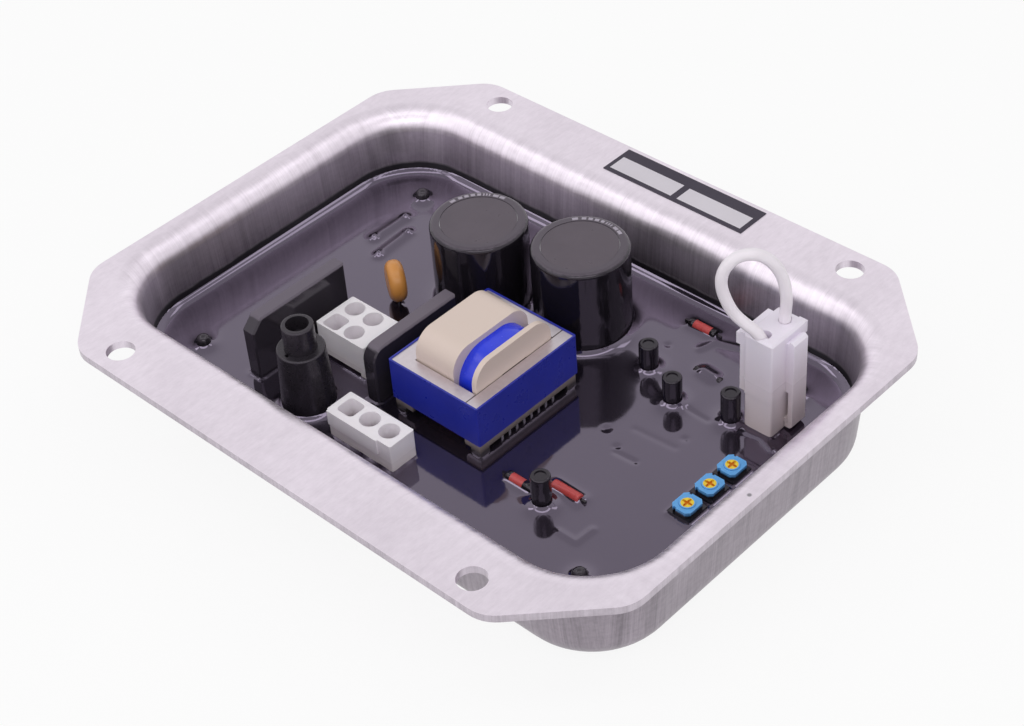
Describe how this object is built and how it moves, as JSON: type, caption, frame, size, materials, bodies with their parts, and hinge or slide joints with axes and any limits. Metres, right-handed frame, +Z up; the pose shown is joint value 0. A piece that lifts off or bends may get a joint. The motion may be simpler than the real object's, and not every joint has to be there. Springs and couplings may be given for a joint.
{
  "type": "automatic voltage regulator",
  "caption": "Automatic voltage regulator: circuit board potted in a drawn aluminium tray with wide drilled flanges, transformer, capacitors, connectors, fuse holder and jumper plug.",
  "frame": {"origin": "centre of the tray's underside, where it would rest on a bench", "axes": "+Z up out of the open tray, +X along the two wide drilled flanges, +Y from the flange beside the fuse holder to the flange with the label"},
  "size_m": [0.175, 0.143, 0.0648],
  "materials": {
    "tray": "brushed",
    "potting": "glossy",
    "board": "matte",
    "post": "glossy",
    "label": "satin",
    "sleeve": "glossy",
    "capacitor_can": "satin",
    "end_disc": "satin",
    "seal": "matte",
    "lead": "tinned",
    "core": "satin",
    "blue_tape": "satin",
    "cream_moulding": "satin",
    "copper_winding": "enamelled",
    "blue_winding": "enamelled",
    "black_moulding": "satin",
    "fuse_glass": "clear",
    "fuse_end": "polished",
    "package_black": "satin",
    "package_grey": "satin",
    "white_moulding": "translucent satin",
    "pin": "tinned",
    "white_wire": "satin",
    "varistor": "glossy",
    "coated_part": "glossy",
    "red_part": "glossy",
    "trimmer_case": "satin",
    "trimmer_rotor": "satin"
  },
  "bodies": {
    "root": {"tray": "tray", "potting": "potting", "circuit_board": "board", "support_posts": "post", "label": "label", "main_capacitor_1_can": "capacitor_can", "main_capacitor_1_sleeve": "sleeve", "main_capacitor_1_end_disc": "end_disc", "main_capacitor_1_seal": "seal", "main_capacitor_1_terminals": "lead", "main_capacitor_2_can": "capacitor_can", "main_capacitor_2_sleeve": "sleeve", "main_capacitor_2_end_disc": "end_disc", "main_capacitor_2_seal": "seal", "main_capacitor_2_terminals": "lead", "small_capacitor_1": "sleeve", "small_capacitor_2": "sleeve", "small_capacitor_3": "sleeve", "small_capacitor_4": "sleeve", "transformer_e_core": "core", "transformer_i_core": "core", "transformer_tape": "blue_tape", "transformer_bobbin": "cream_moulding", "transformer_shroud": "cream_moulding", "transformer_primary_winding": "copper_winding", "transformer_secondary_winding": "blue_winding", "transformer_pins": "lead", "fuse_holder_body": "black_moulding", "fuse_holder_contacts": "pin", "bridge_rectifier_body": "package_black", "bridge_rectifier_leads": "lead", "thyristor_module_body": "package_grey", "thyristor_module_leads": "lead", "power_header_housing": "white_moulding", "power_header_pins": "pin", "sensing_header_housing": "white_moulding", "sensing_header_pins": "pin", "jumper_header_housing": "white_moulding", "jumper_header_pins": "pin", "jumper_plug_housing": "white_moulding", "jumper_plug_sockets": "pin", "jumper_wire": "white_wire", "disc_varistor": "varistor", "radial_leads": "lead", "coated_resistors": "coated_part", "red_resistors": "red_part", "axial_leads": "lead", "trimmer_1_body": "trimmer_case", "trimmer_2_body": "trimmer_case", "trimmer_3_body": "trimmer_case", "trimmer_pins": "lead"},
    "fuse_cap": {"fuse_holder_cap": "black_moulding", "fuse_tube": "fuse_glass", "fuse_end_caps": "fuse_end"},
    "trimmer_dial_1": {"trimmer_1_rotor": "trimmer_rotor"},
    "trimmer_dial_2": {"trimmer_2_rotor": "trimmer_rotor"},
    "trimmer_dial_3": {"trimmer_3_rotor": "trimmer_rotor"}
  },
  "joints": [
    {"name": "fuse_cap_turn", "type": "hinge", "parent": "root", "child": "fuse_cap", "pos_m": [-0.0257, -0.0366, 0.0303], "axis": [0, 0, 1], "range_deg": [0, 90]},
    {"name": "trimmer_1_turn", "type": "hinge", "parent": "root", "child": "trimmer_dial_1", "pos_m": [0.067, -0.008, 0.0153], "axis": [0, 0, 1], "range_deg": [-130, 130]},
    {"name": "trimmer_2_turn", "type": "hinge", "parent": "root", "child": "trimmer_dial_2", "pos_m": [0.067, -0.0001, 0.0153], "axis": [0, 0, 1], "range_deg": [-130, 130]},
    {"name": "trimmer_3_turn", "type": "hinge", "parent": "root", "child": "trimmer_dial_3", "pos_m": [0.067, 0.0078, 0.0153], "axis": [0, 0, 1], "range_deg": [-130, 130]}
  ]
}
